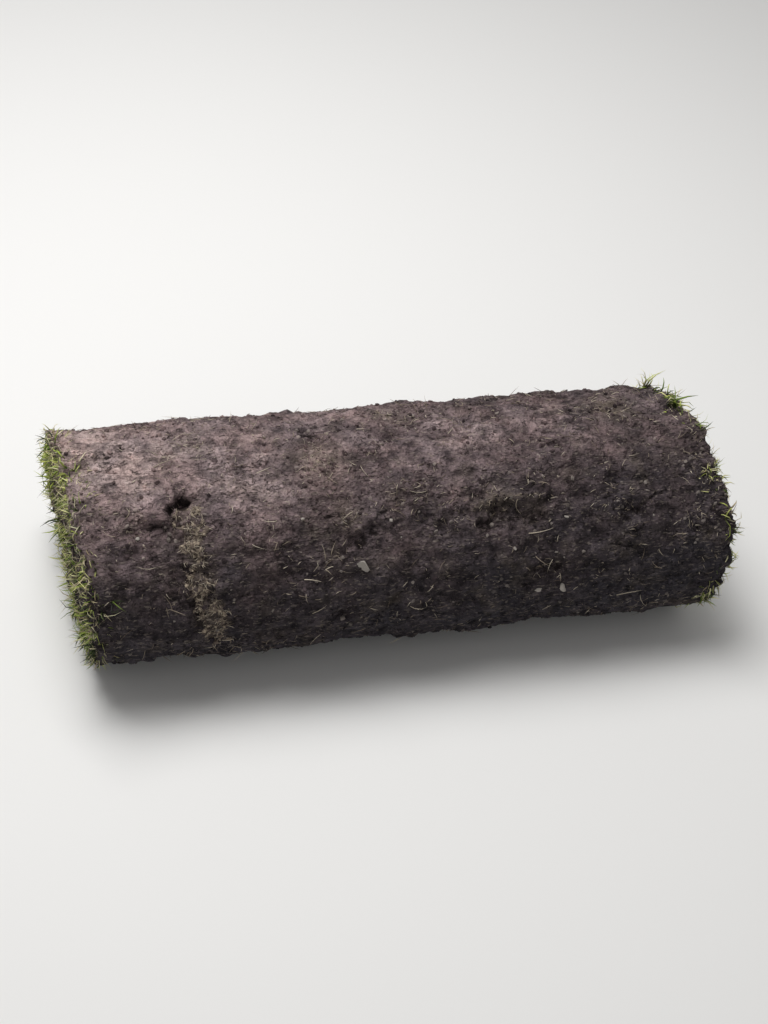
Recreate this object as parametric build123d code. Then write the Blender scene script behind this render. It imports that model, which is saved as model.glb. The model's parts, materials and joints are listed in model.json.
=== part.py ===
"""A roll of cut turf lying on its side: one strip of sod wound up with its grass inwards.

Units are millimetres. X runs along the roll, Y runs from its front to its back and Z is up.
The origin is on the floor, under the middle of the roll.
"""

from build123d import *
from math import cos, pi, radians, sin
import os

# The strip as it is cut from the field
strip_width = 610.0  # becomes the length of the roll
strip_length = 1640.0  # 610 by 1640 is one square metre
sod_thickness = 16.0  # soil, roots and thatch
sward_thickness = 8.0  # mown grass, pressed flat between two turns
turn_pitch = sod_thickness + sward_thickness

# The roll has been pushed askew, so both ends lean the same way in plan, with the front edge to the right
end_skew = 7.0
end_allowance = 40.0  # how far the layers run past the middle of each end, before the ends are cut
uncut_reach = strip_width / 2 + end_allowance

# The soil face that shows on the outer turn. The field and the blade leave it in low swells and dips, which
# the roll's own weight presses flat along its underside. It is laid as small flats, which keeps its facets few.
swell_height = 8.0  # from the highest swell to the deepest dip
swell_spacing = 70.0  # between the crests of the shortest waves that make up the swells
swell_waves = 4
golden_angle = 137.5  # between the directions of one wave and the next, so that no two swells are alike
pressed_height = 10.0  # how far up from the floor the swells are still held back
face_step_around = 17.0  # between the corners of a section of the face
face_step_along = 34.0  # between one section and the next
face_overrun = 6.0  # how far the face runs on past the free edge, and in under it
face_clearance = 0.5  # keeps the face just outside the flat underside

# The cut edges, where the pressed grass lies a little behind the soil
end_recess = 12.0  # at the two ends of the roll
tail_recess = 14.0  # under the free edge of the outer turn

# The eye: the hollow that the first half turn is folded round, sagged flat by the roll's own weight
eye_heel_radius = 2.0  # the bend that leads off the flat underside
eye_shoulder_radius = 10.0  # the side
eye_crown_radius = 45.0  # the top
quarter_turn = 90.0
crown_angle = 30.0  # how far the crown's arc reaches to each side of the top
shoulder_angle = quarter_turn - crown_angle
heel_angle = quarter_turn

# Half of the flat that a turn lies on, which brings each half turn back to the middle of the roll
heel_flat = (
    (eye_crown_radius - eye_shoulder_radius) * sin(radians(crown_angle))
    + eye_shoulder_radius
    - eye_heel_radius
)


class Bend:
    """One arc of the winding. Both faces of the strip turn about the same centre."""

    def __init__(self, pen, heading, radius, sweep):
        self.heading = heading
        self.radius = radius
        self.sweep = sweep
        self.size = sweep
        self.start_angle = heading + quarter_turn
        self.centre = pen - Vector(radius, 0).rotate(Axis.Z, self.start_angle)

    def edge(self, outward):
        return CenterArc(self.centre, self.radius + outward, self.start_angle, -self.sweep)

    def end(self):
        return self.edge(0) @ 1

    def turned(self):
        return -self.sweep

    def after(self, share):
        """What is left past this share of it."""
        heading = self.heading - self.sweep * share
        return Bend(self.edge(0) @ share, heading, self.radius, self.sweep * (1 - share))


class Run:
    """One straight stretch of the winding."""

    def __init__(self, pen, heading, length):
        self.heading = heading
        self.pen = pen
        self.along = Vector(1, 0).rotate(Axis.Z, heading)
        self.outside = Vector(1, 0).rotate(Axis.Z, heading + quarter_turn)
        self.length = length
        self.size = length

    def edge(self, outward):
        start = self.pen + self.outside * outward
        return Line(start, start + self.along * self.length)

    def end(self):
        return self.pen + self.along * self.length

    def turned(self):
        return 0

    def after(self, share):
        """What is left past this share of it."""
        return Run(self.edge(0) @ share, self.heading, self.length * (1 - share))


turn_pieces = 8  # arcs and flats in one whole turn


def half_turn_plan(number):
    """(radius on the grass side, angle) of each piece of a half turn; the flat has a length and no radius."""
    growth = number * turn_pitch / 2
    rising = [
        (None, heel_flat),
        (eye_heel_radius + growth, heel_angle),
        (eye_shoulder_radius + growth, shoulder_angle),
        (eye_crown_radius + growth, crown_angle),
    ]
    return rising if number % 2 == 0 else rising[::-1]


def wind(length):
    """Lays a strip of this length from the eye outwards: up the front, over the top and down the back."""
    pen = Vector(heel_flat, 0)
    heading = 2 * quarter_turn  # towards the front, along the flat
    winding = [Run(pen, heading, heel_flat)]
    pen = winding[0].end()
    left = length - heel_flat
    number = 0
    while left > 0:
        for radius, amount in half_turn_plan(number):
            if left <= 0:
                break
            if radius is None:
                piece = Run(pen, heading, min(amount, left))
                left -= amount
            else:
                full = radians(amount) * (radius + sod_thickness / 2)
                piece = Bend(pen, heading, radius, amount * min(1, left / full))
                left -= full
            winding.append(piece)
            pen = piece.end()
            heading += piece.turned()
        number += 1
    return winding


def band(winding, inner, outer):
    """The section of a layer of the wound strip, between two distances outwards from its grass side."""
    inside = [piece.edge(inner) for piece in winding]
    outside = [piece.edge(outer) for piece in winding]
    eye_end = Line(inside[0] @ 0, outside[0] @ 0)
    tail_end = Line(inside[-1] @ 1, outside[-1] @ 1)
    return make_face(Wire([*inside, tail_end, *outside, eye_end]))


def rise(along, around):
    """How far the soil face stands above or below the sod's thickness, from waves that cross one another."""
    total = 0
    for number in range(swell_waves):
        direction = radians(number * golden_angle)
        spacing = swell_spacing * (1 + number / swell_waves)
        travelled = along * cos(direction) + around * sin(direction)
        total += sin(2 * pi * travelled / spacing + number)
    return swell_height / 2 * total / swell_waves


def outer_turn(winding):
    """The pieces of the last turn, from the point that lies under the strip's free edge."""
    covered = winding[-1 - turn_pieces]
    share = winding[-1].size / covered.size
    uncovered = [covered.after(share)] if share < 1 else []
    return uncovered + winding[-turn_pieces:]


def face_stations(turn):
    """(piece, share of it, distance) for points round a turn and just past both its ends."""
    length = turn[0].edge(sod_thickness).length
    stations = [(turn[0], -face_overrun / length, -face_overrun)]
    distance = 0
    for piece in turn:
        length = piece.edge(sod_thickness).length
        steps = max(1, round(length / face_step_around))
        for step in range(steps):
            stations.append((piece, step / steps, distance + length * step / steps))
        distance += length
    stations.append((piece, 1 + face_overrun / length, distance + face_overrun))
    return stations


def soil_face(turn):
    """The uneven face: many-sided sections round the outer turn, joined along the roll."""
    stations = face_stations(turn)
    steps = round(2 * uncut_reach / face_step_along)
    sections = []
    for step in range(-1, steps + 2):
        along = uncut_reach * (2 * step / steps - 1)
        spots = []
        for piece, share, around in stations:
            height = (piece.edge(sod_thickness) @ share).Y - floor_level(turn)
            freedom = min(1, height / pressed_height) if around > 0 else 0
            standing = face_clearance + (rise(along, around) - face_clearance) * freedom
            spot = piece.edge(sod_thickness + standing) @ share
            spots.append(Vector(along, spot.X, spot.Y))
        sections.append(Polyline(*spots))
    return Shell.make_loft(sections, ruled=True)


def floor_level(turn):
    """How low the flat underside lies."""
    return min((piece.edge(sod_thickness) @ 0).Y for piece in turn)


def run_along(section):
    """Runs a section along the roll, past where both ends are cut."""
    return extrude(Plane.YZ * section, uncut_reach, both=True)


def wound_sod():
    """The sod, with the outer turn parted along its uneven face and pressed flat along the floor."""
    winding = wind(strip_length)
    turn = outer_turn(winding)
    highest = sod_thickness + swell_height / 2 + face_clearance
    section = band(winding, 0, sod_thickness) + band(turn, 0, highest)
    parted = split(run_along(section), bisect_by=soil_face(turn), keep=Keep.ALL)
    inside = parted.solids().sort_by(SortBy.VOLUME)[-1]
    return split(inside, bisect_by=Plane.XY.offset(floor_level(turn)), keep=Keep.TOP)


def between_ends(layer, width):
    """Trims a layer to this width with two parallel cuts that lean by the skew."""
    for side in (-1, 1):
        outwards = Vector(cos(radians(end_skew)), sin(radians(end_skew)), 0) * side
        cut = Plane(origin=(side * width / 2, 0, 0), z_dir=outwards)
        layer = split(layer, bisect_by=cut, keep=Keep.BOTTOM)
    return layer


def wound_roll():
    """Sod the whole way along, and pressed grass between its turns that stops short of every cut edge."""
    sward = run_along(band(wind(strip_length - tail_recess)[turn_pieces:], -sward_thickness, 0))
    return between_ends(wound_sod(), strip_width) + between_ends(sward, strip_width - 2 * end_recess)


def set_down(roll):
    """Moves the roll so that it lies on the floor, over the origin."""
    middle = roll.bounding_box().center()
    return Pos(-middle.X, -middle.Y, -floor_level(wind(strip_length))) * roll


os.makedirs("parts", exist_ok=True)
turf_roll = set_down(wound_roll())
export_step(turf_roll, "parts/turf_roll.step")
print("turf roll", turf_roll.bounding_box().size, "volume", round(turf_roll.volume))
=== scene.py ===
# %% [markdown]
# A roll of cut turf, dressed for a close look.
# The model gives the true size and the winding. This script adds what the eye sees first: matted soil on
# the outside, a fringe of grass at each end, loose roots, crumbs and small stones.
# The frame is loaded before anything else, because every piece takes its place from it.

# %% Load the frame
import json
import math

import bpy
import numpy as np
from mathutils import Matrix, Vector
from mathutils import noise as field
from mathutils.bvhtree import BVHTree
from mathutils.kdtree import KDTree


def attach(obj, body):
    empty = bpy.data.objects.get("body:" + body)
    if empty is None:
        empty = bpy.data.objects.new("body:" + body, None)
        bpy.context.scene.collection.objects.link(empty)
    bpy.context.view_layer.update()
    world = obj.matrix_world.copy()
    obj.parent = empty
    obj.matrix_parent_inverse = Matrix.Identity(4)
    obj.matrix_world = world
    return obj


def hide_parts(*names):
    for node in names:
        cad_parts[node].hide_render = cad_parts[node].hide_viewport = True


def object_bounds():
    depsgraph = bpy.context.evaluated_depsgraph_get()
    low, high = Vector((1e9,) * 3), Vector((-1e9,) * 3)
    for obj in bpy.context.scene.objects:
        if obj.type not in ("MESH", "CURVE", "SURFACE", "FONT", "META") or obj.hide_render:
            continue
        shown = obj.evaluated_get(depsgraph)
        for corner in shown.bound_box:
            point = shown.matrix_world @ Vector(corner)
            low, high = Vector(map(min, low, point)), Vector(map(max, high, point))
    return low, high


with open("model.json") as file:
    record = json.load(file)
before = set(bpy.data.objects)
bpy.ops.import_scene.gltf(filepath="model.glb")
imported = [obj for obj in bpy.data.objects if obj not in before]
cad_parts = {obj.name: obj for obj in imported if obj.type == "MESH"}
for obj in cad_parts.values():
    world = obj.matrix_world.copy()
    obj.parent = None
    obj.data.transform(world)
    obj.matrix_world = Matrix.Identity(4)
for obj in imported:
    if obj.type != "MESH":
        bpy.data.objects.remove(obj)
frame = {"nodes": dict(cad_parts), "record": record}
cad_low, cad_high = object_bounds()
roll_middle = (cad_low + cad_high) / 2
MM = 0.001
print("model box in mm", [round(v / MM, 1) for v in cad_high - cad_low])

# %% [markdown]
# The camera comes early, so that each later step can be looked at from the same place.
# It stands where a person would, front and left of the roll and well above it, and looks a little
# past the roll. It is then turned the short way until the roll is in the middle, which keeps the slope of
# the roll in the picture. A longer lens fills the frame without moving the camera.

# %% Place the camera
STANDS_AT = (-18.6, 46.6)  # degrees to the right and degrees up, as seen from the roll
LOOKS_FROM = (-7.0, 51.5)  # the same for the way it looks before it is turned
EYE_DISTANCE = 1.40
LENS_MM = 50.0


def from_angles(azimuth, elevation):
    """The direction from the object towards a camera at these angles."""
    a = math.radians(azimuth)
    e = math.radians(elevation)
    return Vector((math.sin(a) * math.cos(e), -math.cos(a) * math.cos(e), math.sin(e)))


toward_camera = from_angles(*STANDS_AT)
first_look = -from_angles(*LOOKS_FROM)
turn_to_roll = first_look.rotation_difference(-toward_camera)

bpy.ops.object.camera_add(location=roll_middle + toward_camera * EYE_DISTANCE)
camera = bpy.context.object
camera.name = "camera"
camera.data.lens = LENS_MM
camera.rotation_mode = "QUATERNION"
camera.rotation_quaternion = turn_to_roll @ first_look.to_track_quat("-Z", "Y")
bpy.context.scene.camera = camera
print("camera at", [round(v, 2) for v in camera.location])

# %% [markdown]
# Every finish below is built from nodes. A few helpers keep that readable: one turns a colour as it is
# written for a screen into the linear values that light works in, one adds a node with its settings and its
# links, one starts a material, and one gives it its colour and its relief. A mix node has its colours in
# numbered sockets, so the numbers get names.

# %% Colour and node helpers
BLACK = "000000"
WHITE = "ffffff"
SHARE, UNDER, OVER, MIXED = 0, 6, 7, 2
BLEND = {"data_type": "RGBA"}
OVERLAY = {"data_type": "RGBA", "blend_type": "OVERLAY"}
MULTIPLY = {"data_type": "RGBA", "blend_type": "MULTIPLY"}
TIMES = {"operation": "MULTIPLY"}
TIMES_PLUS = {"operation": "MULTIPLY_ADD"}
LARGER = {"operation": "MAXIMUM"}


def linear(code):
    """An sRGB colour such as 6b5a55, as the linear RGBA that a shader takes."""
    channels = [int(code[i:i + 2], 16) / 255 for i in (0, 2, 4)]
    lit = [c / 12.92 if c <= 0.04045 else ((c + 0.055) / 1.055) ** 2.4 for c in channels]
    return (*lit, 1.0)


def add_node(tree, kind, inputs=None, settings=None, stops=()):
    """Adds a node and gives its outputs. An input is a value, or the output of another node that feeds it.
    Stops are the positions and the colours of a colour ramp."""
    node = tree.nodes.new("ShaderNode" + kind)
    for name, value in (settings or {}).items():
        setattr(node, name, value)
    for name, value in (inputs or {}).items():
        if isinstance(value, bpy.types.NodeSocket):
            tree.links.new(value, node.inputs[name])
        else:
            node.inputs[name].default_value = value
    if stops:
        elements = node.color_ramp.elements
        while len(elements) < len(stops):
            elements.new(0.5)
        for element, (position, colour) in zip(elements, stops):
            element.position = position
            element.color = linear(colour)
    return node.outputs


def new_material(name):
    """A material with an empty shader, and its node tree."""
    material = bpy.data.materials.new(name)
    material.use_nodes = True
    return material, material.node_tree, material.node_tree.nodes["Principled BSDF"]


def finish(tree, shader, colour, reliefs, roughness, gloss):
    """Gives a shader its colour, its dullness and its reliefs, which are heights with their millimetres."""
    inputs = {"Strength": 1.0}
    for height, rise_mm in reliefs:
        inputs.update({"Height": height, "Distance": rise_mm * MM})
        inputs["Normal"] = add_node(tree, "Bump", inputs)["Normal"]
    if reliefs:
        tree.links.new(inputs["Normal"], shader.inputs["Normal"])
    tree.links.new(colour, shader.inputs["Base Color"])
    shader.inputs["Roughness"].default_value = roughness
    shader.inputs["Specular IOR Level"].default_value = gloss


print("white is", linear(WHITE), "and black is", linear(BLACK))

# %% [markdown]
# The ground is topsoil, mauve-grey on top and nearly black low on the front, partly as it dried and partly as
# painted light and shade. A picture of soil would repeat and would need unwrapping, so the colour is made
# from noise at
# real sizes instead: patches of a hand's width, iron-brown stains, and clods.

# %% Colour of the ground
# the soil gets drier this way, and also lighter with painted light, as if lit from above, the back and the
# left
DRIER_AND_LIT_WAY = (-0.12, 0.25, 1.0)  # up, a little to the back, and to the left


def ground_colour(tree, place):
    """Soil, damp low on the front and dry on top and to the left, broken into clods, with painted shade
    low on the front and painted light on top, to the back and to the left.
    """
    sizes = {"patches": (75, 5.0, 0.65), "iron": (48, 3.0, 0.55), "clods": (13, 5.0, 0.62)}
    noise = {}
    for name, (size_mm, detail, roughness) in sizes.items():
        inputs = {"Vector": place, "Scale": 1 / (size_mm * MM), "Detail": detail, "Roughness": roughness}
        noise[name] = add_node(tree, "TexNoise", inputs)["Fac"]

    upness = add_node(tree, "VectorMath", {0: place, 1: DRIER_AND_LIT_WAY}, {"operation": "DOT_PRODUCT"})["Value"]
    wander = add_node(tree, "Math", {0: noise["patches"], 1: 0.2, 2: upness}, TIMES_PLUS)[0]
    dryness_and_light = add_node(tree, "MapRange", {"Value": wander, "From Min": 0.15, "From Max": 0.34})["Result"]
    # the darker stops stand partly for painted shade low on the front, the lighter ones partly for painted
    # light on top
    damp_and_shaded = [(0.0, "36343a"), (0.35, "3f3a3e"), (0.55, "50484b")]
    dry_and_lit = [(0.7, "675c5f"), (0.85, "877a7c"), (1.0, "a49594")]
    ground = add_node(tree, "ValToRGB", {"Fac": dryness_and_light}, stops=damp_and_shaded + dry_and_lit)["Color"]

    colour_marks = [(0.40, "b4b9be"), (0.60, "c4b9b4")]
    iron = add_node(tree, "ValToRGB", {"Fac": noise["iron"]}, stops=colour_marks)["Color"]
    ground = add_node(tree, "Mix", {SHARE: 0.3, UNDER: ground, OVER: iron}, OVERLAY)[MIXED]
    shades = [(0.35, "5f5959"), (0.65, "fff8f2")]
    broken = add_node(tree, "ValToRGB", {"Fac": noise["clods"]}, stops=shades)["Color"]
    return add_node(tree, "Mix", {SHARE: 0.8, UNDER: ground, OVER: broken}, OVERLAY)[MIXED], noise["clods"]


print("drier towards", DRIER_AND_LIT_WAY)

# %% [markdown]
# The outer face was sliced from the field by a blade and is bound by roots. The cut leaves it matt and
# felted: grains of a few millimetres, smears and fibres drawn out along the roll, and thin creases.
# Real fibres are finer than a pixel, so the threads are drawn at two millimetres, which is what still shows.
# Two numbers painted on the mesh later, one for the roots and one for the wounds, turn root mats to tan and
# darken fresh wounds, as damp soil and as painted shade.

# %% Topsoil
def make_topsoil():
    """The finish of the whole outer face."""
    material, tree, shader = new_material("cut_topsoil")
    place = add_node(tree, "TexCoord")["Object"]
    colour, clods = ground_colour(tree, place)
    drawn = {"Vector": place, "Scale": (0.30, 1, 1), "Rotation": (0, 0.1, 0.22)}
    along = add_node(tree, "Mapping", drawn)["Vector"]
    drawn = {"Vector": place, "Scale": (0.6, 1, 1), "Rotation": (0, 0.1, -0.35)}
    slanting = add_node(tree, "Mapping", drawn)["Vector"]
    layers = {
        "root patches": (place, 30, 4.0, 0.6),
        "crease patches": (place, 26, 3.0, 0.6),
        "creases": (slanting, 17, 4.0, 0.6),
        "ragged edges": (place, 6, 5.0, 0.75),
        "smears": (along, 5, 3.0, 0.6),
        "threads": (along, 1.9, 2.0, 0.5),
        "grit": (place, 1.8, 2.0, 0.6),
    }
    noise = {}
    for name, (over, size_mm, detail, roughness) in layers.items():
        inputs = {"Vector": over, "Scale": 1 / (size_mm * MM), "Detail": detail, "Roughness": roughness}
        noise[name] = add_node(tree, "TexNoise", inputs)["Fac"]

    # grains of soil, each with a shade of its own
    grains = add_node(tree, "TexVoronoi", {"Vector": place, "Scale": 1 / (3.4 * MM)})
    shades = [(0.2, "8a8686"), (0.8, "dedad9")]
    own_shade = add_node(tree, "ValToRGB", {"Fac": grains["Color"]}, stops=shades)["Color"]
    colour = add_node(tree, "Mix", {SHARE: 0.25, UNDER: colour, OVER: own_shade}, OVERLAY)[MIXED]

    # fine roots left on the face, dried to tan, thickest where the painted number says so
    patches = [(0.52, BLACK), (0.70, WHITE)]
    scattered = add_node(tree, "ValToRGB", {"Fac": noise["root patches"]}, stops=patches)["Color"]
    scattered = add_node(tree, "Math", {0: scattered, 1: 0.4}, TIMES)[0]
    rooty = add_node(tree, "Attribute", settings={"attribute_name": "rooty"})["Fac"]
    rooty = add_node(tree, "Math", {0: rooty, 1: scattered}, LARGER)[0]
    lines = [(0.58, BLACK), (0.68, WHITE)]
    threads = add_node(tree, "ValToRGB", {"Fac": noise["threads"]}, stops=lines)["Color"]

    # creases between clods, and fresh wounds, are damp, and painted shade darkens them further
    lines = [(0.455, BLACK), (0.475, WHITE), (0.495, BLACK)]
    creases = add_node(tree, "ValToRGB", {"Fac": noise["creases"]}, stops=lines)["Color"]
    patches = [(0.46, BLACK), (0.58, WHITE)]
    here = add_node(tree, "ValToRGB", {"Fac": noise["crease patches"]}, stops=patches)["Color"]
    creases = add_node(tree, "Math", {0: creases, 1: here}, TIMES)[0]
    torn_and_shaded = add_node(tree, "Attribute", settings={"attribute_name": "torn_and_shaded"})["Fac"]
    ragged = add_node(tree, "Math", {0: noise["ragged edges"], 1: 1.3, 2: torn_and_shaded}, TIMES_PLUS)[0]
    wound_shade = add_node(tree, "ValToRGB", {"Fac": ragged}, stops=[(0.86, BLACK), (0.98, WHITE)])["Color"]

    # root tan and pale threads are the soil's own colour; the dark creases and wounds are painted shade
    colour_marks = ((rooty, 0.45, "85786a"), (threads, 0.26, "b3a698"), (creases, 0.75, "1c1616"))
    for where, strength, stain_and_shade in (*colour_marks, (wound_shade, 0.8, "1a1312")):
        amount = add_node(tree, "Math", {0: where, 1: strength}, TIMES)[0]
        colour = add_node(tree, "Mix", {SHARE: amount, UNDER: colour, OVER: linear(stain_and_shade)}, BLEND)[MIXED]
    sunk = add_node(tree, "Math", {0: creases, 1: -1.0}, TIMES)[0]
    reliefs = [(clods, 16), (sunk, 2.5), (noise["smears"], 3.6), (grains["Distance"], 1.4)]
    finish(tree, shader, colour, reliefs + [(noise["grit"], 0.7)], roughness=0.95, gloss=0.15)
    return material


topsoil = make_topsoil()
print("made", topsoil.name)

# %% [markdown]
# Grass, roots, stones and crumbs are each one joined mesh of many small shapes. Each shape carries two
# numbers in its UV map: across is its own random tint, and up is how far along it a point lies. So one
# material gives every blade its own colour and a shaded foot, where a material for each tint would not blend.

# %% Finishes for the small things
def make_loose_soil():
    """The colour of the soil that a crumb lies on, with its painted light and shade, made a little darker or
    paler by the crumb's own tint.
    """
    material, tree, shader = new_material("loose_soil_crumbs")
    place = add_node(tree, "TexCoord")["Object"]
    uv = add_node(tree, "UVMap", settings={"uv_map": "own"})["UV"]
    tint = add_node(tree, "SeparateXYZ", {"Vector": uv})["X"]
    ground = ground_colour(tree, place)[0]
    steps = [(0.0, "8f8b8c"), (0.75, "e6e1df"), (1.0, "fffaf6")]
    shades = add_node(tree, "ValToRGB", {"Fac": tint}, stops=steps)["Color"]
    colour = add_node(tree, "Mix", {SHARE: 1.0, UNDER: ground, OVER: shades}, MULTIPLY)[MIXED]
    dried = add_node(tree, "ValToRGB", {"Fac": tint}, stops=[(0.72, BLACK), (1.0, WHITE)])["Color"]
    dried = add_node(tree, "Math", {0: dried, 1: 0.5}, TIMES)[0]
    colour = add_node(tree, "Mix", {SHARE: dried, UNDER: colour, OVER: linear("a39a91")}, BLEND)[MIXED]
    inputs = {"Vector": place, "Scale": 1 / (1.2 * MM), "Detail": 2.0, "Roughness": 0.6}
    grit = add_node(tree, "TexNoise", inputs)["Fac"]
    finish(tree, shader, colour, [(grit, 0.8)], roughness=0.95, gloss=0.15)
    return material


def make_tinted(name, stops, roughness, foot=None, foot_share=0.0):
    """A matt finish whose colour is picked along a ramp by each shape's own tint."""
    material, tree, shader = new_material(name)
    uv = add_node(tree, "UVMap", settings={"uv_map": "own"})["UV"]
    parts = add_node(tree, "SeparateXYZ", {"Vector": uv})
    colour = add_node(tree, "ValToRGB", {"Fac": parts["X"]}, stops=stops)["Color"]
    if foot:
        fading = [(0.0, WHITE), (foot_share, BLACK)]
        near_foot = add_node(tree, "ValToRGB", {"Fac": parts["Y"]}, stops=fading)["Color"]
        colour = add_node(tree, "Mix", {SHARE: near_foot, UNDER: colour, OVER: linear(foot)}, BLEND)[MIXED]
    finish(tree, shader, colour, [], roughness, gloss=0.3)
    return material


# mown ryegrass: waxy blades, from shaded dark green to fresh yellow-green, with dead straw among them
greens = [(0.00, "232c10"), (0.16, "536624"), (0.38, "8aa13a"), (0.60, "c0cb5e")]
straws = [(0.77, "e4e298"), (0.90, "e2dab8"), (1.00, "a8956f")]
mown_grass = make_tinted("mown_ryegrass", greens + straws, 0.5, foot="14170a", foot_share=0.58)
# dry root fibre: dull tan threads, darker where soil still clings to them
root_fibre = make_tinted("dry_root_fibre", [(0.0, "675a50"), (0.5, "a09280"), (1.0, "d2c6b2")], 0.9)
# soil crumbs shaken loose, of the same soil as the face that they lie on
loose_soil = make_loose_soil()
# crumbs and chaff that have dried out in the scar, paler and more tan than the face
dried_crumb = make_tinted("dried_crumbs", [(0.0, "3f3735"), (0.5, "776a5f"), (1.0, "ab9d89")], 0.95)
# field grit: small pale stones with a dusty skin
field_stone = make_tinted("field_stone", [(0.0, "4f4a47"), (0.6, "77706b"), (1.0, "a9a29a")], 0.85)
print("made", [m.name for m in (mown_grass, root_fibre, loose_soil, dried_crumb, field_stone)])

# %% [markdown]
# The soil body is the model's own winding with its corners worn off. A copy of the model's mesh is merged and
# rebuilt from small cubes of space, which rounds every cut edge as real soil rounds, and gives even faces
# that can be pushed about. The model already swells and dips along its outer turn, so displacement at two
# real sizes is enough to make it lumpy and crumbling.

# %% Shape the soil body
def take_up(obj):
    """Makes this the only selected object, so that an operator acts on nothing else."""
    bpy.ops.object.select_all(action="DESELECT")
    obj.select_set(True)
    bpy.context.view_layer.objects.active = obj


def displace(obj, name, size_mm, push_mm):
    """Pushes the surface in and out by cloudy noise of this size, and applies it."""
    texture = bpy.data.textures.new(name, "CLOUDS")
    texture.noise_scale = size_mm * MM
    texture.noise_depth = 2
    modifier = obj.modifiers.new(name, "DISPLACE")
    modifier.texture = texture
    modifier.texture_coords = "LOCAL"
    modifier.mid_level = 0.5
    modifier.strength = push_mm * MM
    bpy.ops.object.modifier_apply(modifier=name)


VOXEL_MM = 3.1
soil_roll = bpy.data.objects.new("soil_roll", frame["nodes"]["turf_roll"].data.copy())
bpy.context.scene.collection.objects.link(soil_roll)
take_up(soil_roll)
bpy.ops.object.mode_set(mode="EDIT")
bpy.ops.mesh.select_all(action="SELECT")
bpy.ops.mesh.remove_doubles(threshold=0.01 * MM)
bpy.ops.object.mode_set(mode="OBJECT")
soil_roll.data.remesh_voxel_size = VOXEL_MM * MM
bpy.ops.object.voxel_remesh()
displace(soil_roll, "clods", 24, 8.5)
displace(soil_roll, "crumble", 10, 6.0)
print("points in the soil body", len(soil_roll.data.vertices))

# %% [markdown]
# Wounds, stones and long roots lie where a person would point to them: this share of the way along the roll,
# and this many degrees down the front from its top. A ray shot at the roll from outside finds that place on
# the soil, whatever its shape. All that is smaller is placed at random, from one seed.

# %% Find places on the roll
SEED = 27
END_SKEW = math.tan(math.radians(7))  # both ends of the model lean by this in plan
FAR_OFF = 0.3  # metres, well outside the roll
rng = np.random.default_rng(SEED)


def points_of(obj):
    """The points of a mesh, as an array."""
    flat = np.zeros(len(obj.data.vertices) * 3, np.float32)
    obj.data.vertices.foreach_get("co", flat)
    return flat.reshape(-1, 3)


half_length = float(np.max(points_of(frame["nodes"]["turf_roll"]) @ np.array([1, END_SKEW, 0])))


def inset_of(places):
    """How far each point lies behind the nearer end, allowing for the lean of the ends."""
    return half_length - abs(places[:, 0] + END_SKEW * places[:, 1])


smooth_tree = BVHTree.FromObject(soil_roll, bpy.context.evaluated_depsgraph_get())


def hit_front(share, angle, tree=smooth_tree):
    """The point and normal on the roll at a share of its length and an angle down from the top."""
    a = math.radians(angle)
    out = Vector((0, -math.sin(a), math.cos(a)))
    along = (share - 0.5) * 2 * half_length + END_SKEW * math.sin(a) * cad_high.y
    start = Vector((along, 0, roll_middle.z)) + out * FAR_OFF
    return tree.ray_cast(start, -out)[:2]


def path_of(*spots):
    """The points of a path on the roll, from shares of its length and angles down from its top."""
    return np.array([hit_front(*spot)[0] for spot in spots])


def distance_to(places, path):
    """Distance from each point to the line through the path."""
    best = np.full(len(places), 9.0)
    for a, b in zip(path[:-1], path[1:]):
        along = np.clip((places - a) @ (b - a) / ((b - a) @ (b - a)), 0, 1)
        best = np.minimum(best, np.linalg.norm(places - a - along[:, None] * (b - a), axis=1))
    return best


print("half length in mm", round(half_length / MM, 1), "and seed", SEED)

# %% [markdown]
# On the front, near the left end, the soil has torn where the strip bent. A small ragged hole leads into a
# crack that comes and goes down the front, with a shallow band of loose stuff beside it. Elsewhere clods have
# fallen out and left small hollows. Cutting them out would leave clean edges, so each is a groove that is
# pressed in along a short path and frayed by noise, and the same step paints it dark, as damp soil and as
# painted shade.

# %% Wounds in the soil
points = points_of(soil_roll)
flat_normals = np.zeros(len(points) * 3, np.float32)
soil_roll.data.vertices.foreach_get("normal", flat_normals)
outward = flat_normals.reshape(-1, 3)
torn_and_shaded = np.zeros(len(points))
rooty = np.zeros(len(points))


def press(path, half_width_mm, depth_mm, paint, strength=1.0):
    """Presses a groove of uneven width along the path, or raises a fold where its depth is negative."""
    distance = distance_to(points, path) / (half_width_mm * MM)
    near = np.flatnonzero(distance < 2.2)
    uneven = np.array([field.noise(Vector(points[i]) / (13 * MM)) for i in near])
    ragged = np.array([field.noise(Vector(points[i]) / (5 * MM)) for i in near])
    # the full amount near the path, and none past its ragged edge
    amount = np.clip(1.2 - distance[near] / (1 + 0.75 * uneven) + 0.6 * ragged, 0, 1)
    points[near] -= outward[near] * (depth_mm * MM * amount**0.7)[:, None]
    paint[near] = np.maximum(paint[near], amount * strength)


crack = path_of((0.135, 33), (0.134, 45), (0.138, 58), (0.145, 72), (0.152, 88))
litter = path_of((0.157, 34), (0.157, 46), (0.158, 59), (0.163, 73), (0.172, 88), (0.177, 98))
press(litter, 12, 2.5, rooty, 0.7)
# the crack is pressed in and darkened with painted shade, for the shadow along its side
press(crack, 4, 5, torn_and_shaded, 0.27)
# the hole is pressed deep and darkened fully with painted shade
# the hole has two lobes with a shallow bridge between them, and a nick further up
press(path_of((0.133, 32), (0.139, 31)), 4.5, 13, torn_and_shaded)
press(path_of((0.149, 29), (0.156, 29)), 4.5, 12, torn_and_shaded)
press(path_of((0.139, 31), (0.149, 29.5)), 3.2, 7, torn_and_shaded, 0.5)
press(path_of((0.153, 27.5), (0.158, 24)), 2.4, 4, torn_and_shaded, 0.4)

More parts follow.
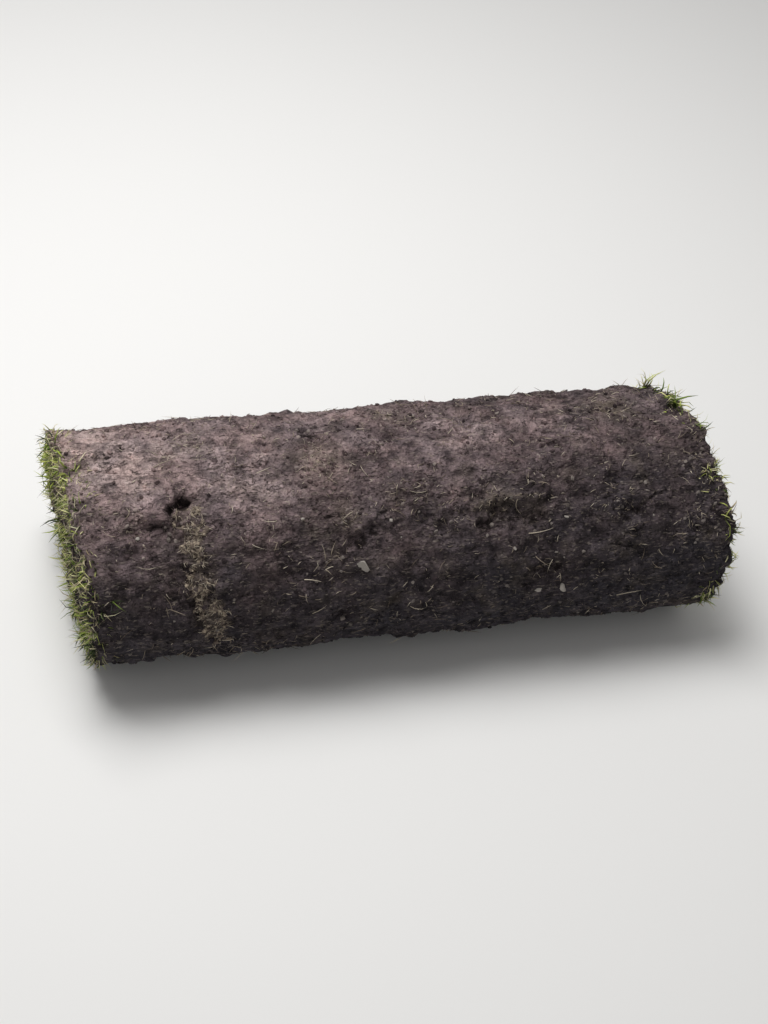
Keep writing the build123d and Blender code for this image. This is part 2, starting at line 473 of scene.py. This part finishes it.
# hollows, each from one place to another, with half its width and its depth in millimetres
hollows = [
    ((0.59, 51), (0.68, 48), 8.75, 8),
    ((0.39, 59), (0.42, 56), 7.5, 6),
    ((0.66, 80), (0.70, 79), 7.5, 7),
    ((0.385, -17), (0.40, -11), 5, 4),
    ((0.59, 8), (0.63, 13), 5, 4),
    ((0.055, -4), (0.09, -14), 3.125, 4),
    ((0.35, 91), (0.38, 88), 6.25, 5),
    ((0.82, 55), (0.84, 50), 5, 4),
    ((0.30, 150), (0.34, 146), 7.5, 5),
    ((0.58, -60), (0.63, -56), 7.5, 5),
    ((0.27, -95), (0.30, -100), 7.5, 6),
]
for start, stop, half_width, depth in hollows:
    ends = np.array([start, stop])
    way = ends[1] - ends[0]
    bends = [ends[0] + way * t + rng.normal(0, 1, 2) * (0.006, 2.2) for t in (0, 0.3, 0.65, 1)]
    # each hollow is pressed in and darkened a little with painted shade
    press(path_of(*bends), half_width, depth, torn_and_shaded, 0.30)
print("points in the hole", int((torn_and_shaded > 0.5).sum()), "and in all wounds", int((torn_and_shaded > 0.1).sum()))

# %% [markdown]
# The rest of the face is broken too. Creases part the clods, two fibrous folds stand a little proud, the
# blade has left low ridges, fine roots lie in mats, and the cut edges at both ends have crumbled. By hand
# this would be sculpted. Here noise decides most of it, point by point, so each run gives the same roll.

# %% Creases, folds, ridges and crumbled ends
CREASE_DEPTH = 3.2 * MM
RIDGE_HEIGHT = 3.0 * MM
CRUMBLED_REACH = 9 * MM
CRUMBLED_DEPTH_MM = 7

# creases between clods run mostly along the roll, and none runs far
slant = points @ np.array([[0.55, 0.1, 0.0], [0.0, 1.0, 0.0], [-0.3, 0.0, 1.0]]) / (24 * MM)
edge_of_clod = np.array([field.noise(Vector(p)) for p in slant])
broken = np.array([field.noise(Vector(p) / (40 * MM) + Vector((7, 0, 0))) for p in points])
crease = np.exp(-(((edge_of_clod - 0.13) / 0.06) ** 2)) * np.clip(3 * broken, 0, 1)
points -= outward * (CREASE_DEPTH * crease)[:, None]
# the creases also carry a little of the painted shade of the wounds
torn_and_shaded = np.maximum(torn_and_shaded, 0.16 * crease)

# a fold of fibrous soil stands proud above the longest hollow, and a smaller one inside it
press(path_of((0.585, 43), (0.62, 40), (0.685, 40)), 4.5, -3.5, rooty, 0.9)
press(path_of((0.61, 47.5), (0.66, 45.5)), 2.5, -3, rooty, 0.8)

# the blade and the rolling have dragged the face into low ridges along the roll
drawn = points * np.array([0.22, 1.0, 1.0]) / (11 * MM)
ridges = np.array([field.noise(Vector(p)) for p in drawn])
points += outward * (RIDGE_HEIGHT * ridges * (1 - torn_and_shaded))[:, None]

# mats of fine root, painted but not pressed: where each lies, and its reach in millimetres
mats = ((0.20, -14, 14), (0.374, 8, 24), (0.39, 41, 12), (0.62, 41, 14), (0.52, -30, 16), (0.88, -20, 22))
for share, angle, reach in mats:
    gap = np.linalg.norm(points - np.array(hit_front(share, angle)[0]), axis=1) / (reach * MM)
    rooty = np.maximum(rooty, 0.9 * np.exp(-gap**2))

# the cut edges at both ends have crumbled
inset = inset_of(points)
rim = np.flatnonzero(inset < CRUMBLED_REACH)
bite = np.array([0.2 + 1.3 * field.noise(Vector(points[i]) / (17 * MM)) for i in rim])
nearness = np.clip(1 - inset[rim] / CRUMBLED_REACH, 0, 1)
points[rim, 0] -= np.sign(points[rim, 0]) * CRUMBLED_DEPTH_MM * MM * np.clip(bite, 0, 1) * nearness

points[:, 2] = np.maximum(points[:, 2], 0)
soil_roll.data.vertices.foreach_set("co", points.ravel())
for name, amount in (("torn_and_shaded", torn_and_shaded), ("rooty", rooty)):
    soil_roll.data.attributes.new(name, "FLOAT", "POINT").data.foreach_set("value", amount.astype(np.float32))
soil_roll.data.update()
bpy.ops.object.shade_smooth()
print("points rooty", int((rooty > 0.5).sum()), "and in the crumbled ends", len(rim))

# %% [markdown]
# The strip's other side is thatch: the dense, shaded feet of the grass. It shows where the green bands lie
# back from the ends and inside the eye, behind the blades. A second piece inside the soil would fight with
# its surface, so those faces of the same body get a finish of their own.

# %% Thatch on the grass side
END_RECESS = 12 * MM  # how far the pressed grass of the model lies behind its soil at both ends
BAND_START = 0.62 * END_RECESS
BAND_STOP = 1.7 * END_RECESS
EYE_MARGIN = 10 * MM


def make_thatch():
    """Dull, dark olive, with no blade to be told from another."""
    material, tree, shader = new_material("grass_thatch")
    place = add_node(tree, "TexCoord")["Object"]
    noise = []
    for size_mm in (4, 3):
        inputs = {"Vector": place, "Scale": 1 / (size_mm * MM), "Detail": 4.0, "Roughness": 0.7}
        noise.append(add_node(tree, "TexNoise", inputs)["Fac"])
    shades = [(0.35, "191b0d"), (0.65, "4b4a27")]
    colour = add_node(tree, "ValToRGB", {"Fac": noise[0]}, stops=shades)["Color"]
    finish(tree, shader, colour, [(noise[1], 4)], roughness=0.9, gloss=0.5)
    return material


openings = frame["record"]["physics"]["openings"]
eye_low = np.min([box["box_m"][0] for box in openings], axis=0)[1:] - EYE_MARGIN
eye_high = np.max([box["box_m"][1] for box in openings], axis=0)[1:] + EYE_MARGIN


def in_eye(points):
    """True in the eye of the roll and just round it, the whole way along."""
    return np.all((points[:, 1:] > eye_low) & (points[:, 1:] < eye_high), axis=1)


tree_of_soil = BVHTree.FromObject(soil_roll, bpy.context.evaluated_depsgraph_get())


def lies_inside(place):
    """True where a ray from just in front of this place, outwards from the roll's middle, meets more turf."""
    start = Vector(place) + Vector((math.copysign(2 * MM, place[0]), 0, 0))
    outwards = Vector((0, place[1] - roll_middle.y, place[2] - roll_middle.z))
    return tree_of_soil.ray_cast(start, outwards.normalized(), FAR_OFF)[0] is not None


def in_band(points, normals):
    """True on the sunken bands of grass between the turns, at the ends."""
    inset = inset_of(points)
    sunken = (abs(normals[:, 0]) > 0.6) & (inset > BAND_START) & (inset < BAND_STOP)
    sunken[sunken] = [lies_inside(place) for place in points[sunken]]
    return sunken


def face_values(obj, name):
    """The centres or the normals of a mesh's faces, as an array."""
    flat = np.zeros(len(obj.data.polygons) * 3, np.float32)
    obj.data.polygons.foreach_get(name, flat)
    return flat.reshape(-1, 3)


centres = face_values(soil_roll, "center")
facing = face_values(soil_roll, "normal")
thatched = in_band(centres, facing) | (in_eye(centres) & (abs(facing[:, 0]) < 0.7))
soil_roll.data.materials.clear()
soil_roll.data.materials.append(topsoil)
soil_roll.data.materials.append(make_thatch())
soil_roll.data.polygons.foreach_set("material_index", thatched.astype(np.int32))
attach(soil_roll, "root")
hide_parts("turf_roll")
print("soil body faces", len(soil_roll.data.polygons))

# %% [markdown]
# Blades, roots and crumbs have to know where the soil is. The body is sampled at random, by area, from one
# seeded generator, so each run gives the same roll. A sample is on the outside where a ray from it meets
# no more turf, and it is grass where it lies in the sunken band between two turns.

# %% Sample the surface
soil_roll.data.calc_loop_triangles()
corners = np.array([t.vertices[:] for t in soil_roll.data.loop_triangles])
triangle_points = points_of(soil_roll)[corners]
triangle_cross = np.cross(
    triangle_points[:, 1] - triangle_points[:, 0], triangle_points[:, 2] - triangle_points[:, 0]
)
triangle_area = np.linalg.norm(triangle_cross, axis=1)
triangle_facing = triangle_cross / triangle_area[:, None]
triangle_middle = triangle_points.mean(axis=1)


def sample(here, count):
    """Random points on the chosen triangles of the body, spread by area, with their normals."""
    chosen = np.flatnonzero(here)
    picked = rng.choice(chosen, count, p=triangle_area[chosen] / triangle_area[chosen].sum())
    u = np.sqrt(rng.random(count))[:, None]
    v = rng.random(count)[:, None]
    a, b, c = (triangle_points[picked, i] for i in range(3))
    return (1 - u) * a + u * (1 - v) * b + u * v * c, triangle_facing[picked]


def sees_out(place, normal):
    """True where a ray straight out of the surface meets no more turf."""
    start = Vector(place) + Vector(normal) * 1.5 * MM
    return tree_of_soil.ray_cast(start, Vector(normal), FAR_OFF)[0] is None


end_on = abs(triangle_facing[:, 0]) > 0.7
inset = inset_of(triangle_middle)
band = in_band(triangle_middle, triangle_facing)
eye = in_eye(triangle_middle)
side = ~end_on & ~eye & (triangle_middle[:, 2] > 3 * MM)
open_air = side.copy()
open_air[side] = [sees_out(p, n) for p, n in zip(triangle_middle[side], triangle_facing[side])]
# under the free edge, low on the back, the surface is hidden and faces the floor
under_tail = side & ~open_air & (triangle_middle[:, 1] > 0.75 * cad_high.y) & (triangle_facing[:, 2] < -0.5)

skin_places, skin_normals = sample(open_air, 50000)
print("triangles in the bands", band.sum(), "and in the eye", eye.sum())
print("triangles in open air", open_air.sum(), "and under the tail", under_tail.sum())

# %% [markdown]
# Roots and crumbs don't lie evenly. They gather in clumps, most of all on top, where nothing rubs them off,
# and on the root mats painted before. Each sample of the skin gets a weight for that, and a random choice by
# weight then takes more where more belongs.

# %% Where small things gather
def clumps(points, size_mm, seed):
    """A number from 0 to 1 for each point that changes slowly from place to place."""
    shift = Vector((seed, 0, 0))
    values = np.array([field.noise(Vector(p) / (size_mm * MM) + shift) for p in points])
    return np.clip(0.5 + values, 0, 1)


def painted_at(places, paint):
    """What is painted on the point of the body nearest to each place."""
    tree = KDTree(len(points))
    for i, p in enumerate(points):
        tree.insert(p, i)
    tree.balance()
    return np.array([paint[tree.find(p)[1]] for p in places])


skin_rooty = painted_at(skin_places, rooty)
topness = np.clip(skin_places[:, 2] / cad_high.z, 0, 1)
clumped = clumps(skin_places, 38, 5.0) ** 2.2 * (0.35 + 0.65 * topness**3) + 1.6 * skin_rooty
print("weight of the skin samples, mean", round(clumped.mean(), 2), "and most", round(clumped.max(), 2))


def pick_clumped(count, evenly):
    """Indices of skin samples, most of them where small things gather. Evenly is how much weight each sample
    has anyway, as a share of the mean."""
    weight = clumped + evenly * clumped.mean()
    return rng.choice(len(skin_places), count, p=weight / weight.sum())


# %% [markdown]
# Blades, roots, crumbs and stones come in thousands. Adding each as a primitive and joining them would take
# minutes, so their points are worked out together, as arrays, and become one mesh at once.

# %% One mesh from arrays
def unit(vectors):
    """Vectors of length one, in the same directions."""
    return vectors / np.maximum(np.linalg.norm(vectors, axis=1, keepdims=True), 1e-9)


def mesh_object(name, points, triangles, tint, along, material):
    """A new object from arrays. Tint and along go to the UV map, one pair for each point."""
    mesh = bpy.data.meshes.new(name)
    mesh.vertices.add(len(points))
    mesh.vertices.foreach_set("co", points.astype(np.float32).ravel())
    mesh.loops.add(triangles.size)
    mesh.loops.foreach_set("vertex_index", triangles.astype(np.int32).ravel())
    mesh.polygons.add(len(triangles))
    mesh.polygons.foreach_set("loop_start", np.arange(0, triangles.size, 3, dtype=np.int32))
    own = mesh.uv_layers.new(name="own")
    pairs = np.stack([tint, along], axis=1)[triangles.ravel()]
    own.data.foreach_set("uv", pairs.astype(np.float32).ravel())
    mesh.update(calc_edges=True)
    mesh.validate()
    mesh.materials.append(material)
    obj = bpy.data.objects.new(name, mesh)
    bpy.context.scene.collection.objects.link(obj)
    return obj


print("small things are joined from", len(skin_places), "samples of the skin")

# %% [markdown]
# A blade of grass and a root thread are both long, thin and bent. Each is a three-sided tapering arc, closed
# at its foot and its tip. A curve with a bevel would give the same, but with far more faces. A strand that
# would reach past the room round the model is left out, so the dressed roll keeps its size.

# %% A mesh of many strands
SPILL = Vector((13, 8, 8)) * MM
room_low = np.array(cad_low - SPILL)
room_high = np.array(cad_high + SPILL)
room_low[2] = 0.2 * MM


def strands(name, foot, aim, lean, length, width, curl, tint, keel, material, rings):
    """Joins tapering three-sided arcs. Each leaves its foot along aim and curls towards lean, by curl
    radians in all. The keel is how deep its section is, as a share of its half width."""
    count = len(foot)
    aim = unit(aim)
    lean = unit(lean - aim * np.sum(lean * aim, axis=1, keepdims=True))
    across = np.cross(aim, lean)
    t = np.linspace(0, 1, rings + 1)
    angle = curl[:, None] * t
    reach = (length / curl)[:, None]
    middle = (
        foot[:, None]
        + (reach * np.sin(angle))[..., None] * aim[:, None]
        + (reach * (1 - np.cos(angle)))[..., None] * lean[:, None]
    )
    inward = np.cos(angle)[..., None] * lean[:, None] - np.sin(angle)[..., None] * aim[:, None]
    spin = rng.uniform(0, 2 * np.pi, count)[:, None, None]
    flat = np.cos(spin) * across[:, None] + np.sin(spin) * inward
    ridge = np.cos(spin) * inward - np.sin(spin) * across[:, None]
    # a strand keeps its width for most of its length, and then tapers
    half = (width[:, None] / 2 * (1 - 0.9 * t**1.8))[..., None]
    body = np.stack([middle + flat * half, middle - flat * half, middle + ridge * half * keel], axis=2)
    rings_only = body[:, :rings].reshape(count, rings * 3, 3)
    points = np.concatenate([rings_only, middle[:, -1:]], axis=1)
    inside = np.all((points > room_low) & (points < room_high), axis=(1, 2))
    points = points[inside]
    tint = tint[inside]
    count = len(points)

    tip = rings * 3
    pattern = [(0, 1, 2)]
    for ring in range(rings - 1):
        for i in range(3):
            j = (i + 1) % 3
            low_i, low_j = ring * 3 + i, ring * 3 + j
            high_i, high_j = low_i + 3, low_j + 3
            pattern += [(low_i, high_i, low_j), (low_j, high_i, high_j)]
    for i in range(3):
        pattern.append((tip - 3 + i, tip, tip - 3 + (i + 1) % 3))
    pattern = np.array(pattern)
    triangles = (pattern[None] + (np.arange(count) * (tip + 1))[:, None, None]).reshape(-1, 3)
    flat_points = points.reshape(-1, 3)
    a, b, c = (flat_points[triangles[:, i]] for i in range(3))
    if np.sum(np.cross(a, b) * c) < 0:
        triangles = triangles[:, ::-1]
    along = np.tile(np.append(np.repeat(t[:rings], 3), 1.0), count)
    return mesh_object(name, flat_points, triangles, np.repeat(tint, tip + 1), along, material)


print("strands stay within mm", [round(v / MM) for v in (*room_low, *room_high)])

# %% [markdown]
# Grass shows as a fringe where the winding's green bands come out at each end. A hair system could grow it,
# but its tufts and bends couldn't tell an outer band from an inner one, so each blade is placed on a sample
# of its band. They splay out in tufts and droop, and the outermost lap over the edge of the soil.

# %% Grass at the two ends
BLADES_PER_END = 7000
TRIED_PER_BLADE = 3
FOOT_DEPTH_MM = 2
STRAW_FROM = 0.78  # tints past this are dead straw


def grass_tint(foot, straw_share):
    """Mostly greens, with this share of dead straw. Neighbours in a tuft are alike."""
    count = len(foot)
    tuft = clumps(foot, 15, 3.0) - 0.5
    green = np.clip(rng.beta(1.5, 1.7, count) + tuft, 0, 1) * STRAW_FROM
    return np.where(rng.random(count) < straw_share, rng.uniform(STRAW_FROM, 1.0, count), green)


def grow(name, foot, aim, lean, length_mm, curl, straw_share, width_mm=(1.4, 2.8)):
    """Grass blades from these feet, as one piece that rides on the roll."""
    count = len(foot)
    length = rng.uniform(*length_mm, count) * MM
    width = rng.uniform(*width_mm, count) * MM
    tint = grass_tint(foot, straw_share)
    bend = rng.uniform(*curl, count)
    piece = strands(name, foot, aim, lean, length, width, bend, tint, 0.5, mown_grass, 3)
    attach(piece, "root")
    print(name, "triangles", len(piece.data.polygons))


def end_grass(name, sign):
    """The grass of one end. Sign is -1 at the left end and 1 at the right."""
    foot, _ = sample(band & (np.sign(triangle_middle[:, 0]) == sign), TRIED_PER_BLADE * BLADES_PER_END)
    thinned = clumps(foot, 11, 11.0) + rng.uniform(-0.15, 0.15, len(foot))
    foot = foot[np.argsort(-thinned)[:BLADES_PER_END]] - np.array([sign, 0, 0]) * FOOT_DEPTH_MM * MM
    count = len(foot)
    tufts = np.stack([clumps(foot, 10, seed) - 0.5 for seed in (21.0, 43.0, 65.0)], axis=1)
    section = (foot[:, 1:] - np.array(roll_middle)[1:]) / np.array(cad_high - cad_low)[1:] * 2
    outermost = np.linalg.norm(section, axis=1) > 0.72
    away = np.column_stack([np.zeros(count), unit(section)])

    # blades of the outermost band are longer, lie every way and lap over the edge of the soil, while those
    # further in are pressed short between two turns, so the soil still shows as a winding line
    straying = np.where(outermost, 1.0, 0.36)[:, None]
    aim = (tufts * 1.1 + rng.normal(0, 0.75, (count, 3))) * straying
    aim[:, 0] = sign * rng.uniform(0.3, 1.0, count)
    aim += away * np.where(outermost, 0.25, 0)[:, None]
    lean = rng.normal(0, 1, (count, 3)) + tufts + np.array([0, 0, -0.8])
    lap = outermost & (rng.random(count) < 0.30)
    lean[lap] = away[lap] * 2 + rng.normal(0, 0.5, (lap.sum(), 3)) - np.array([sign * 0.6, 0, 0])
    length_mm = np.where(outermost, 13, 8), np.where(outermost, 34, 19)
    curl = np.where(lap, 1.4, 0.5), np.where(lap, 4.0, 3.2)
    grow(name, foot, aim, lean, length_mm, curl, np.where(lap, 0.55, 0.22))


end_grass("grass_left_end", -1)
end_grass("grass_right_end", 1)

# %% [markdown]
# The cut edge of the outer turn is frayed. Short straw and stubble hang from it and lie every way, which
# breaks the hard line between the soil and the grass.

# %% Straw along the cut edges
STRAW_REACH = 7 * MM
rim = open_air & (inset < STRAW_REACH)
rim_foot, rim_out = sample(rim, 1500)
ends = np.column_stack([np.sign(rim_foot[:, 0]), np.zeros((len(rim_foot), 2))])
rim_aim = ends * rng.uniform(0.1, 1.0, (len(rim_foot), 1)) + rim_out * 0.25
rim_aim += rng.normal(0, 0.5, rim_foot.shape)
rim_lean = rng.normal(0, 1, rim_foot.shape) - rim_out
grow("straw_on_rims", rim_foot - rim_out * 0.6 * MM, rim_aim, rim_lean, (7, 19), (0.4, 2.2), 0.6, (0.9, 1.9))

# %% [markdown]
# The eye is lined with grass too, and a thin line of blades shows under the free edge of the outer turn. They
# grow as the others do. Only the eye's two mouths get blades, because nothing further in is seen.

# %% Grass in the eye and under the tail
EYE_DEPTH = 65 * MM
eye_foot, eye_out = sample(eye & ~end_on & (inset < EYE_DEPTH), 1800)
eye_aim = eye_out * 0.45 + rng.normal(0, 0.25, eye_out.shape)
eye_aim[:, 0] = np.sign(eye_foot[:, 0]) * 0.9
grow("grass_in_eye", eye_foot, eye_aim, eye_out, (9, 18), (0.3, 1.2), 0.3, (1.0, 1.8))

tail_foot, tail_out = sample(under_tail, 1500)
tail_aim = tail_out + rng.normal(0, 0.35, tail_out.shape)
tail_lean = rng.normal(0, 1, tail_out.shape)
grow("grass_under_tail", tail_foot, tail_aim, tail_lean, (8, 20), (0.3, 1.6), 0.3)

# %% [markdown]
# Torn roots lie matted on the cut face. Most run roughly along the roll, and some stand up and break the
# outline, which a painted pattern can't do, so they are strands like the grass. They are drawn about twice as
# thick as real ones, because a true root would be thinner than a pixel.

# %% Roots on the outer skin
def lay_roots(name, foot, normal, length_mm, width_mm, lift, along_share):
    """Root threads. Lift is how far they may stand off, along_share how much they follow the roll."""
    count = len(foot)
    foot = foot - normal * 0.3 * MM
    wander = rng.normal(0, 1, (count, 3)) + np.array([along_share, 0, 0]) * rng.choice([-1, 1], (count, 1))
    flat = unit(wander - normal * np.sum(wander * normal, axis=1, keepdims=True))
    aim = flat + normal * (rng.random(count) * lift)[:, None]
    lean = np.cross(normal, flat) * rng.choice([-1, 1], (count, 1)) - normal * 0.35
    length = rng.uniform(*length_mm, count) * MM
    width = rng.uniform(*width_mm, count) * MM
    curl = rng.uniform(0.1, 1.3, count)
    tint = rng.random(count) ** 1.3
    piece = strands(name, foot, aim, lean, length, width, curl, tint, 1.7, root_fibre, 3)
    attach(piece, "root")
    print(name, "triangles", len(piece.data.polygons))


CUT_EDGE_REACH = 9 * MM
chosen = pick_clumped(5200, 0.12)
lay_roots("matted_roots", skin_places[chosen], skin_normals[chosen], (2.5, 9), (0.4, 0.75), 0.25, 0.8)
chosen = pick_clumped(480, 1.0)
lay_roots("loose_roots", skin_places[chosen], skin_normals[chosen], (9, 20), (0.45, 0.8), 0.5, 0.5)
cut_edge = end_on & ~band & (inset < CUT_EDGE_REACH)
lay_roots("end_roots", *sample(cut_edge, 1800), (4, 12), (0.5, 0.9), 0.5, 0.0)

# %% [markdown]
# Ten long roots catch the eye on the front. Chance wouldn't put them there, so each is given its place, its
# slope, its length and its bend. They have more rings than the small ones, because their bends are seen.

# %% Long roots on the front
def front_root(share, angle, turn, length_mm, bend):
    """One long root on the front: turn is its slope away from the roll's length, in degrees."""
    place, normal = (np.array(v) for v in hit_front(share, angle, tree_of_soil))
    down = unit(np.cross(normal, [1.0, 0.0, 0.0])[None])[0]
    t = math.radians(turn)
    aim = math.cos(t) * np.array([1.0, 0.0, 0.0]) - math.sin(t) * down + normal * 0.12
    lean = np.cross(aim, normal) * math.copysign(1, bend) - normal * 0.2
    return place + normal * 0.4 * MM, aim, lean, length_mm, abs(bend)


long_ones = [
    front_root(0.447, 69, 84, 30, 0.8),
    front_root(0.660, 58, 4, 26, -0.4),
    front_root(0.905, 84, 78, 36, 0.7),
    front_root(0.815, 97, -38, 26, 0.6),
    front_root(0.947, 34, 82, 26, -0.7),
    front_root(0.092, 14, -52, 26, -1.1),
    front_root(0.310, 70, 3, 17, 0.3),
    front_root(0.950, 88, 70, 22, -0.9),
    front_root(0.130, 4, -30, 20, 0.5),
    front_root(0.730, 30, 20, 18, 0.9),
]
foot, aim, lean, length_mm, bend = (np.array(part, float) for part in zip(*long_ones))
count = len(foot)
width = np.full(count, 0.9) * MM
tint = np.full(count, 0.85)
piece = strands("front_roots", foot, aim, lean, length_mm * MM, width, bend, tint, 1.7, root_fibre, 10)
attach(piece, "root")
print("front_roots triangles", len(piece.data.polygons))

# %% [markdown]
# Crumbs start from one small faceted ball, because there are thousands. A stone starts from a finer ball
# whose points are pressed back to a few random planes, which gives it the flats of broken gravel. Cutting
# with a bisect would give the same flats, but only one stone at a time.

# %% Shapes of crumbs and stones
def ball_of(subdivisions):
    """The points and triangles of a round ball."""
    bpy.ops.object.select_all(action="DESELECT")
    bpy.ops.mesh.primitive_ico_sphere_add(subdivisions=subdivisions, radius=1)
    ball = bpy.context.object
    shape = points_of(ball).astype(float), np.array([p.vertices[:] for p in ball.data.polygons])
    bpy.data.objects.remove(ball)
    return shape


CRUMB_BALL = ball_of(1)
STONE_BALL = ball_of(3)
STONE_FLATS = 9


def crumb_shapes(count):
    """Copies of the small ball, each stretched and made lumpy in its own way."""
    stretch = rng.uniform(0.55, 1.35, (count, 1, 3))
    return CRUMB_BALL[0][None] * stretch * rng.uniform(0.7, 1.3, (count, len(CRUMB_BALL[0]), 1))


def stone_shapes(count):
    """Copies of the finer ball, each with its own flats and proportions."""
    shapes = np.repeat(STONE_BALL[0][None], count, axis=0)
    for _ in range(STONE_FLATS):
        flat = unit(rng.normal(0, 1, (count, 3)))[:, None]
        over = np.sum(shapes * flat, axis=2, keepdims=True) - rng.uniform(0.28, 0.62, (count, 1, 1))
        shapes = shapes - np.maximum(over, 0) * flat * 0.95
    return shapes * rng.uniform(0.8, 1.8, (count, 1, 3))


print("points in a crumb", len(CRUMB_BALL[0]), "and in a stone", len(STONE_BALL[0]))

# %% [markdown]
# Crumbs and grit lie pressed into the skin, as rolling and carrying leave them. Each shape is turned at
# random, made flatter across the surface and partly sunk, because a whole ball on top would look like a bead.

# %% Crumbs and stones on the skin
SMALL_STONES = 34


def scatter(name, places, normals, size_mm, shapes, faces, material, tint, proud):
    """Puts a shape at each place, turned and flattened. Most are small. Proud is how far its middle stands
    above the soil, as a share of half its size."""
    count = len(places)
    size = (size_mm[0] + (size_mm[1] - size_mm[0]) * rng.random(count)[:, None] ** 2.2) * MM / 2
    spin = np.linalg.qr(rng.normal(0, 1, (count, 3, 3)))[0]
    spin *= np.sign(np.linalg.det(spin))[:, None, None]
    turned = np.einsum("nij,nkj->nki", spin, shapes)
    turned -= 0.25 * np.einsum("nki,ni->nk", turned, normals)[..., None] * normals[:, None]
    points = turned * size[:, None] + (places + normals * size * proud)[:, None]
    points[..., 2] = np.maximum(points[..., 2], 0.1 * MM)
    in_each = shapes.shape[1]
    triangles = (faces[None] + (np.arange(count) * in_each)[:, None, None]).reshape(-1, 3)
    each = np.repeat(tint, in_each)
    piece = mesh_object(name, points.reshape(-1, 3), triangles, each, np.zeros(len(each)), material)
    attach(piece, "root")
    print(name, "triangles", len(piece.data.polygons))
    return piece


def scatter_crumbs(name, chosen, size_mm, material):
    """Crumbs at the chosen samples of the skin."""
    count = len(chosen)
    places, normals = skin_places[chosen], skin_normals[chosen]
    tint = rng.random(count)
    shapes = crumb_shapes(count)
    piece = scatter(name, places, normals, size_mm, shapes, CRUMB_BALL[1], material, tint, -0.05)
    piece.data.shade_flat()


def scatter_stones(name, places, normals, size_mm, tint):
    """Stones at these places."""
    shapes = stone_shapes(len(places))
    scatter(name, places, normals, size_mm, shapes, STONE_BALL[1], field_stone, tint, -0.1)


scatter_crumbs("soil_crumbs", pick_clumped(9000, 0.6), (0.9, 4.8), loose_soil)
chosen = rng.choice(len(skin_places), SMALL_STONES)
tint = 0.8 * rng.random(SMALL_STONES)
scatter_stones("small_stones", skin_places[chosen], skin_normals[chosen], (1.5, 3.6), tint)

# %% [markdown]
# The band beside the crack holds what fell from the tear: crumbs and root threads, paler than the damp face
# beside them because they have dried. They are made as the others are, and kept to the band in patches.

# %% Crumbs in the scar
patchy = clumps(skin_places, 8, 9.0)
scar_reach = (5 + 15 * clumps(skin_places, 14, 2.0)) * patchy ** 0.5 * MM
scar = np.flatnonzero((distance_to(skin_places, litter) < scar_reach) & (patchy > 0.42))
scatter_crumbs("scar_crumbs", rng.choice(scar, 1500), (1.0, 4.6), dried_crumb)
chosen = rng.choice(scar, 1000)
lay_roots("scar_roots", skin_places[chosen], skin_normals[chosen], (3, 9), (0.45, 0.8), 0.5, 0.0)

# %% [markdown]
# A few larger stones lie in the front of the roll. Each has its own place and size, and is made and sunk as
# the small ones are.

# %% Larger stones
PALE = np.array([0.9])
stones = (
    (0.40, 65, 14),
    (0.451, 46, 6),
    (0.679, 88, 9),
    (0.717, 86, 9),
    (0.725, 52, 5),
    (0.636, 64, 4),
    (0.322, 42, 4),
    (0.08, 44, 5),
)
for number, (share, angle, size_mm) in enumerate(stones, start=1):
    place, normal = (np.array(v)[None] for v in hit_front(share, angle, tree_of_soil))
    scatter_stones(f"stone_{number}", place, normal, (size_mm, size_mm), PALE)

# %% [markdown]
# The stage is plain: a pale floor, one large soft lamp overhead, to the left and behind, and a dim even
# world. The world is white only to the camera and in reflections, so it adds hardly any light to the turf.

# %% Floor, lamp and world
bpy.ops.object.select_all(action="DESELECT")
bpy.ops.mesh.primitive_plane_add(size=14)
floor = bpy.context.object
floor.name = "floor"
floor_finish, floor_tree, floor_shader = new_material("pale_studio_floor")
floor_shader.inputs["Base Color"].default_value = linear("e9e8e6")
floor_shader.inputs["Roughness"].default_value = 0.9
floor.data.materials.append(floor_finish)

bpy.ops.object.light_add(type="AREA", location=(-0.45, 0.5, 2.0))
lamp = bpy.context.object
lamp.data.size = 1.1
lamp.data.energy = 40
lamp.rotation_euler = (roll_middle - lamp.location).to_track_quat("-Z", "Y").to_euler()

world = bpy.data.worlds.new("studio")
bpy.context.scene.world = world
world.use_nodes = True
sky = world.node_tree
light_path = add_node(sky, "LightPath")
seen = light_path["Is Camera Ray"]
for ray in ("Is Glossy Ray", "Is Transmission Ray"):
    seen = add_node(sky, "Math", {0: seen, 1: light_path[ray]}, LARGER)[0]
strength = add_node(sky, "MapRange", {"Value": seen, "To Min": 0.28, "To Max": 1.0})["Result"]
sky.links.new(strength, sky.nodes["Background"].inputs["Strength"])
sky.nodes["Background"].inputs["Color"].default_value = linear(WHITE)
bpy.context.scene.view_settings.view_transform = "Standard"
print("lamp at", [round(v, 2) for v in lamp.location], "with", lamp.data.energy, "watts")

# %% [markdown]
# Last, the view layer is brought up to date. The finish may stand proud of it by only a little.

# %% Update the scene
bpy.context.view_layer.update()
